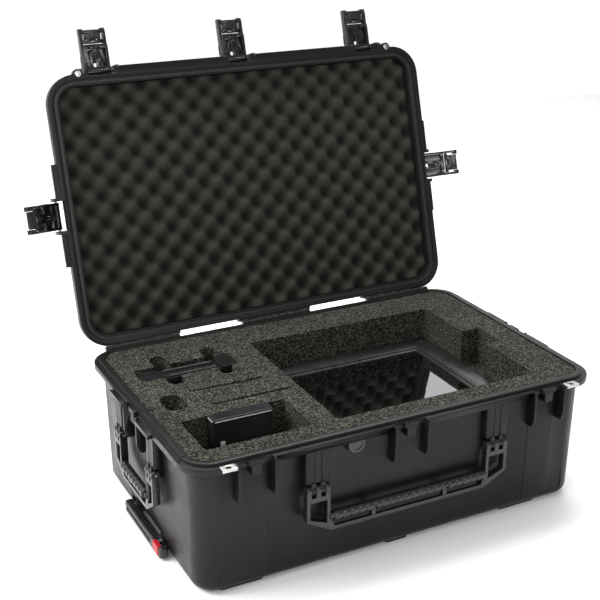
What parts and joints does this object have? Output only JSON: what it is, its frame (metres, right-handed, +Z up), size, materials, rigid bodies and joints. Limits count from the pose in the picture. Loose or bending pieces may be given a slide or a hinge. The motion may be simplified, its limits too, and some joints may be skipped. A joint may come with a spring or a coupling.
{
  "type": "wheeled drone carrying case",
  "caption": "Open wheeled hard carrying case for a drone kit, hinged lid with throw latches, cut foam inserts, fold-down handles and a tow handle.",
  "frame": {"origin": "centre of the base's footprint, on the surface the case rests on", "axes": "+X along the case's length towards the wheels, +Y towards the lid's hinge, +Z up"},
  "size_m": [0.9306, 0.727, 0.7935],
  "materials": {
    "shell": "moulded black polypropylene with a fine satin grain",
    "cut_foam": "cut charcoal polyethylene foam with visible cells",
    "latch": "smooth semi-gloss black nylon",
    "pin_steel": "plain ground steel",
    "padlock_steel": "stamped stainless steel, lightly brushed",
    "seal_rubber": "soft black rubber",
    "handle": "black nylon with a satin skin",
    "grip_rubber": "ribbed soft black rubber",
    "tube_alloy": "drawn and satin anodised",
    "release_red": "smooth red plastic",
    "wheel_tyre": "hard black polyurethane",
    "wheel_hub": "black moulded nylon",
    "display_body": "black moulded plastic, satin",
    "display_glass": "glossy dark screen",
    "chrome_screw": "bright chrome",
    "charger_trim": "pale moulded plastic trim",
    "charger_body": "dark grey ribbed plastic",
    "arm_body": "black anodised body",
    "arm_rail": "satin alloy rails"
  },
  "bodies": {
    "base": {"base_shell": "shell", "foam_bottom_pad": "cut_foam", "foam_lower_block": "cut_foam", "foam_top_block": "cut_foam", "valve_body": "handle", "base_padlock_plates": "padlock_steel", "hinge_pins": "pin_steel", "front_handle_pins": "pin_steel", "left_handle_pins": "pin_steel", "right_handle_pins": "pin_steel", "tube_guides": "shell", "channel_cover": "shell", "cover_screws": "pin_steel", "wheel_axles": "pin_steel"},
    "lid": {"lid_shell": "shell", "lid_foam": "cut_foam", "lid_seal": "seal_rubber", "lid_padlock_eyes": "padlock_steel", "latch_pivot_pins": "pin_steel"},
    "pull_handle": {"pull_handle_tubes": "tube_alloy", "pull_handle_grip": "handle"},
    "release_button": {"release_button": "release_red", "release_spring": "pin_steel"},
    "display_unit": {"display_housing": "display_body", "display_screen": "display_glass", "display_screws": "chrome_screw"},
    "charger": {"charger_case": "charger_body", "charger_trim": "charger_trim"},
    "mount_arm": {"mount_arm": "arm_body", "mount_arm_rails": "arm_rail"},
    "latch_front_left": {"latch_front_left_arm": "latch", "latch_front_left_trigger_pin": "pin_steel", "latch_front_left_spring": "pin_steel"},
    "latch_front_left_trigger": {"latch_front_left_trigger": "latch"},
    "latch_front_middle": {"latch_front_middle_arm": "latch", "latch_front_middle_trigger_pin": "pin_steel", "latch_front_middle_spring": "pin_steel"},
    "latch_front_middle_trigger": {"latch_front_middle_trigger": "latch"},
    "latch_front_right": {"latch_front_right_arm": "latch", "latch_front_right_trigger_pin": "pin_steel", "latch_front_right_spring": "pin_steel"},
    "latch_front_right_trigger": {"latch_front_right_trigger": "latch"},
    "latch_left_end": {"latch_left_end_arm": "latch", "latch_left_end_trigger_pin": "pin_steel", "latch_left_end_spring": "pin_steel"},
    "latch_left_end_trigger": {"latch_left_end_trigger": "latch"},
    "latch_right_end": {"latch_right_end_arm": "latch", "latch_right_end_trigger_pin": "pin_steel", "latch_right_end_spring": "pin_steel"},
    "latch_right_end_trigger": {"latch_right_end_trigger": "latch"},
    "front_handle": {"front_handle_frame": "handle", "front_handle_grip": "grip_rubber"},
    "left_handle": {"left_handle_frame": "handle", "left_handle_grip": "grip_rubber"},
    "right_handle": {"right_handle_frame": "handle", "right_handle_grip": "grip_rubber"},
    "front_wheel": {"front_wheel_tyre": "wheel_tyre", "front_wheel_hub": "wheel_hub"},
    "rear_wheel": {"rear_wheel_tyre": "wheel_tyre", "rear_wheel_hub": "wheel_hub"}
  },
  "joints": [
    {"name": "lid_hinge", "type": "hinge", "parent": "base", "child": "lid", "pos_m": [0, 0.2543, 0.2399], "axis": [-1, 0, 0], "range_deg": [-106.4, 0]},
    {"name": "latch_front_left_pivot", "type": "hinge", "parent": "lid", "child": "latch_front_left", "pos_m": [-0.277, 0.43245, 0.71733], "axis": [-1, 0, 0], "range_deg": [-90, 0]},
    {"name": "latch_front_left_trigger_pull", "type": "hinge", "parent": "latch_front_left", "child": "latch_front_left_trigger", "pos_m": [-0.277, 0.45401, 0.76935], "axis": [-1, 0, 0], "range_deg": [0, 12], "stiffness_Nm_per_rad": 0.08, "springref_deg": -14.32},
    {"name": "latch_front_middle_pivot", "type": "hinge", "parent": "lid", "child": "latch_front_middle", "pos_m": [0, 0.43245, 0.71733], "axis": [-1, 0, 0], "range_deg": [-90, 0]},
    {"name": "latch_front_middle_trigger_pull", "type": "hinge", "parent": "latch_front_middle", "child": "latch_front_middle_trigger", "pos_m": [0, 0.45401, 0.76935], "axis": [-1, 0, 0], "range_deg": [0, 12], "stiffness_Nm_per_rad": 0.08, "springref_deg": -14.32},
    {"name": "latch_front_right_pivot", "type": "hinge", "parent": "lid", "child": "latch_front_right", "pos_m": [0.277, 0.43245, 0.71733], "axis": [-1, 0, 0], "range_deg": [-90, 0]},
    {"name": "latch_front_right_trigger_pull", "type": "hinge", "parent": "latch_front_right", "child": "latch_front_right_trigger", "pos_m": [0.277, 0.45401, 0.76935], "axis": [-1, 0, 0], "range_deg": [0, 12], "stiffness_Nm_per_rad": 0.08, "springref_deg": -14.32},
    {"name": "latch_left_end_pivot", "type": "hinge", "parent": "lid", "child": "latch_left_end", "pos_m": [-0.392, 0.36073, 0.47366], "axis": [0, -0.2823, -0.9593], "range_deg": [-50, 45]},
    {"name": "latch_left_end_trigger_pull", "type": "hinge", "parent": "latch_left_end", "child": "latch_left_end_trigger", "pos_m": [-0.43876, 0.33061, 0.48253], "axis": [0, -0.2823, -0.9593], "range_deg": [0, 12], "stiffness_Nm_per_rad": 0.08, "springref_deg": -14.32},
    {"name": "latch_right_end_pivot", "type": "hinge", "parent": "lid", "child": "latch_right_end", "pos_m": [0.392, 0.36073, 0.47366], "axis": [0, 0.2823, 0.9593], "range_deg": [-65, 30]},
    {"name": "latch_right_end_trigger_pull", "type": "hinge", "parent": "latch_right_end", "child": "latch_right_end_trigger", "pos_m": [0.44529, 0.34324, 0.47881], "axis": [0, 0.2823, 0.9593], "range_deg": [0, 12], "stiffness_Nm_per_rad": 0.08, "springref_deg": -14.32},
    {"name": "front_handle_lift", "type": "hinge", "parent": "base", "child": "front_handle", "pos_m": [0, -0.247, 0.161], "axis": [-1, 0, 0], "range_deg": [0, 100]},
    {"name": "left_handle_lift", "type": "hinge", "parent": "base", "child": "left_handle", "pos_m": [-0.385, 0, 0.161], "axis": [0, 1, 0], "range_deg": [0, 100]},
    {"name": "right_handle_lift", "type": "hinge", "parent": "base", "child": "right_handle", "pos_m": [0.385, 0, 0.161], "axis": [0, -1, 0], "range_deg": [0, 100]},
    {"name": "pull_handle_slide", "type": "slide", "parent": "base", "child": "pull_handle", "axis": [-1, 0, 0], "range_m": [0, 0.38]},
    {"name": "release_button_press", "type": "slide", "parent": "pull_handle", "child": "release_button", "axis": [1, 0, 0], "range_m": [0, 0.002], "stiffness_N_per_m": 800, "springref_m": -0.002},
    {"name": "front_wheel_spin", "type": "hinge", "parent": "base", "child": "front_wheel", "pos_m": [0.343, -0.165, 0.042], "axis": [0, 1, 0], "continuous": true},
    {"name": "rear_wheel_spin", "type": "hinge", "parent": "base", "child": "rear_wheel", "pos_m": [0.343, 0.165, 0.042], "axis": [0, 1, 0], "continuous": true},
    {"name": "display_lift", "type": "slide", "parent": "base", "child": "display_unit", "axis": [0, 0, 1], "range_m": [0, 0.3]},
    {"name": "charger_lift", "type": "slide", "parent": "base", "child": "charger", "axis": [0, 0, 1], "range_m": [0, 0.3]},
    {"name": "mount_arm_lift", "type": "slide", "parent": "base", "child": "mount_arm", "axis": [0, 0, 1], "range_m": [0, 0.3]}
  ]
}
